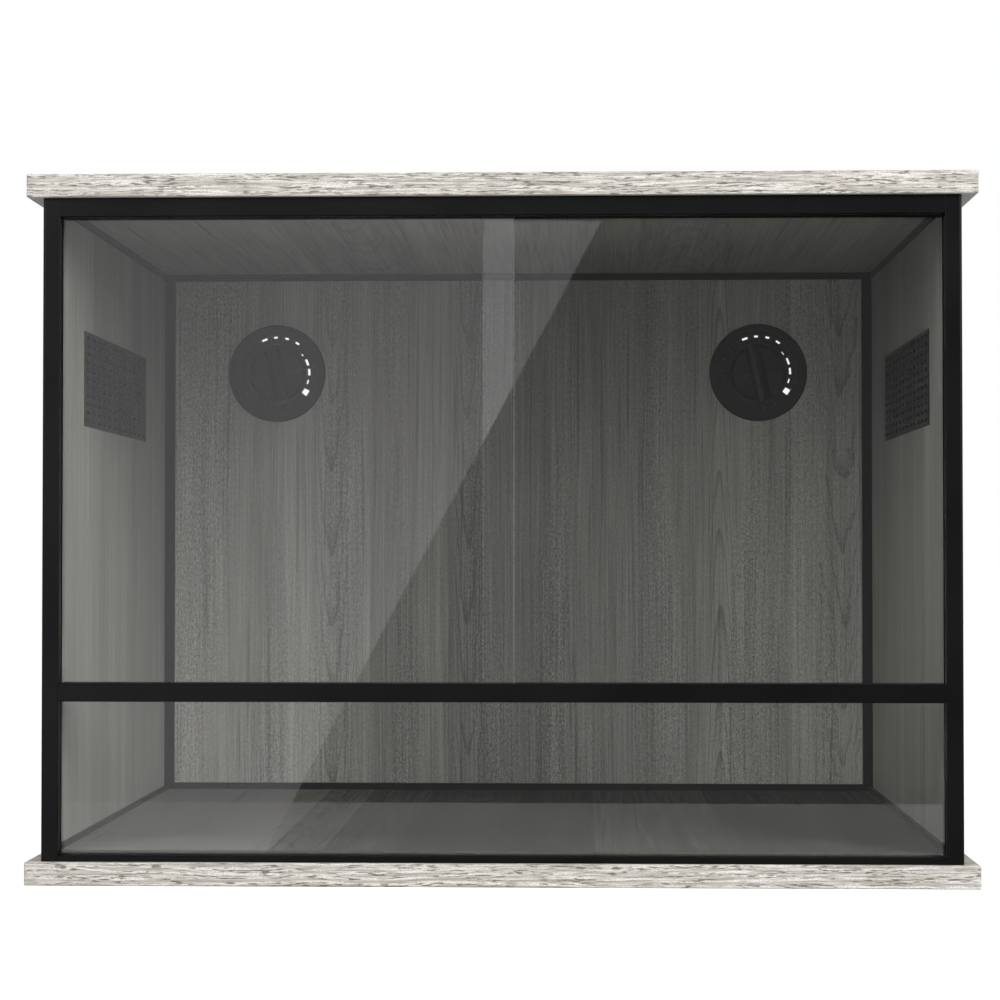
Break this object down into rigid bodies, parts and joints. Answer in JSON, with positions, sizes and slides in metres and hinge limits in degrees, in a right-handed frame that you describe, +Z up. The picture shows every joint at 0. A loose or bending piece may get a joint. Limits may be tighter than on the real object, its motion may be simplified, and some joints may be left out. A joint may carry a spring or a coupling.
{
  "type": "reptile terrarium",
  "caption": "Front-opening reptile terrarium: black profile frame between two pale wood boards, sliding glass doors over a fixed glass, round back vents and slotted side vents.",
  "frame": {"origin": "centre of the base board's underside", "axes": "+X to the right seen from the doors, +Y to the back, +Z up; the doors face -Y"},
  "size_m": [0.61, 0.457, 0.457],
  "materials": {
    "board_laminate": "whitewashed oak laminate, matt",
    "panel_laminate": "dark grey wood-grain laminate, satin",
    "frame_profile": "satin black coating",
    "track_plastic": "black extruded plastic",
    "clear_glass": "clear float glass, ground edges",
    "seal_rubber": "black rubber",
    "vent_plastic": "moulded black plastic, satin",
    "fixing_steel": "zinc-plated steel"
  },
  "bodies": {
    "case": {"top_board": "board_laminate", "base_board": "board_laminate", "ceiling_liner": "panel_laminate", "floor_panel": "panel_laminate", "left_side_panel": "panel_laminate", "right_side_panel": "panel_laminate", "back_panel": "panel_laminate", "front_left_stile": "frame_profile", "front_right_stile": "frame_profile", "rear_left_post": "frame_profile", "rear_right_post": "frame_profile", "front_top_rail": "frame_profile", "front_mid_rail": "frame_profile", "front_bottom_rail": "frame_profile", "left_top_rail": "frame_profile", "right_top_rail": "frame_profile", "rear_top_rail": "frame_profile", "left_bottom_rail": "frame_profile", "right_bottom_rail": "frame_profile", "rear_bottom_rail": "frame_profile", "upper_door_track": "track_plastic", "lower_door_track": "track_plastic", "lower_glass": "clear_glass", "lower_glass_gasket": "seal_rubber", "left_side_vent": "vent_plastic", "right_side_vent": "vent_plastic", "left_vent_housing": "vent_plastic", "left_vent_back_cap": "vent_plastic", "right_vent_housing": "vent_plastic", "right_vent_back_cap": "vent_plastic", "base_screws": "fixing_steel", "top_locating_pins": "fixing_steel", "front_rail_pins": "fixing_steel"},
    "left_door": {"left_door_glass": "clear_glass"},
    "right_door": {"right_door_glass": "clear_glass"},
    "left_shutter": {"left_vent_shutter": "vent_plastic"},
    "right_shutter": {"right_vent_shutter": "vent_plastic"}
  },
  "joints": [
    {"name": "left_door_slide", "type": "slide", "parent": "case", "child": "left_door", "axis": [1, 0, 0], "range_m": [0, 0.28]},
    {"name": "right_door_slide", "type": "slide", "parent": "case", "child": "right_door", "axis": [1, 0, 0], "range_m": [-0.277, 0]},
    {"name": "left_vent_twist", "type": "hinge", "parent": "case", "child": "left_shutter", "pos_m": [-0.196, 0.217, 0.36], "axis": [0, 1, 0], "range_deg": [0, 9]},
    {"name": "right_vent_twist", "type": "hinge", "parent": "case", "child": "right_shutter", "pos_m": [0.196, 0.217, 0.36], "axis": [0, 1, 0], "range_deg": [0, 9]}
  ]
}
